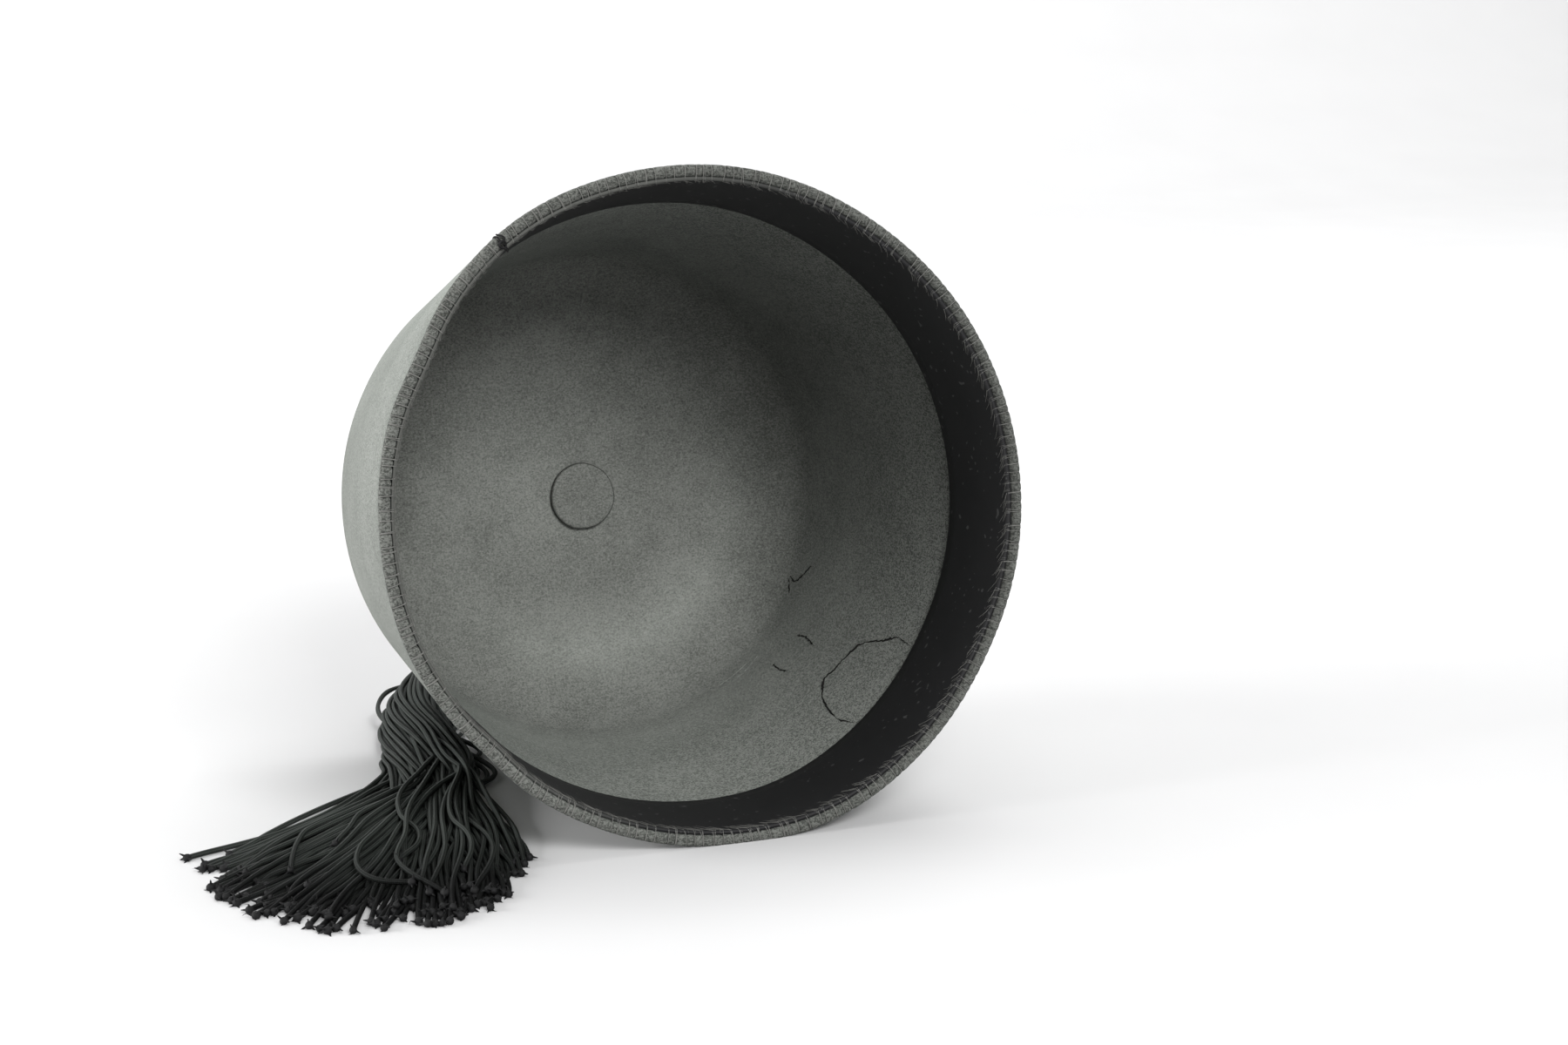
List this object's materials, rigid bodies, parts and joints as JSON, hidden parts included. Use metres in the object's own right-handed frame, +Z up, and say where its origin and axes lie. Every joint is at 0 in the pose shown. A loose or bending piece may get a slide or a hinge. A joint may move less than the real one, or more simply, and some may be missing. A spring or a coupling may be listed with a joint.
{
  "type": "fez hat",
  "caption": "Stiff felt fez lying on its side, open rim forward, with an inner sweatband, a disc in the crown and a loose braided tassel on a short cord.",
  "frame": {"origin": "middle of the felt body's footprint on the floor it lies on, without the cord and tassel", "axes": "+Z up, +X to the right and +Y away from the viewer who looks into the opening: the crown points along +Y and 8.6 degrees down"},
  "size_m": [0.2471, 0.2211, 0.1921],
  "materials": {
    "felt": "matte wool felt, charcoal grey",
    "band": "smooth matte black band",
    "braid": "fine black braid with a slight sheen"
  },
  "bodies": {
    "root": {"felt_body": "felt", "crown_disc": "felt", "sweatband": "band", "tassel_cord": "braid", "tassel": "braid"}
  },
  "joints": []
}
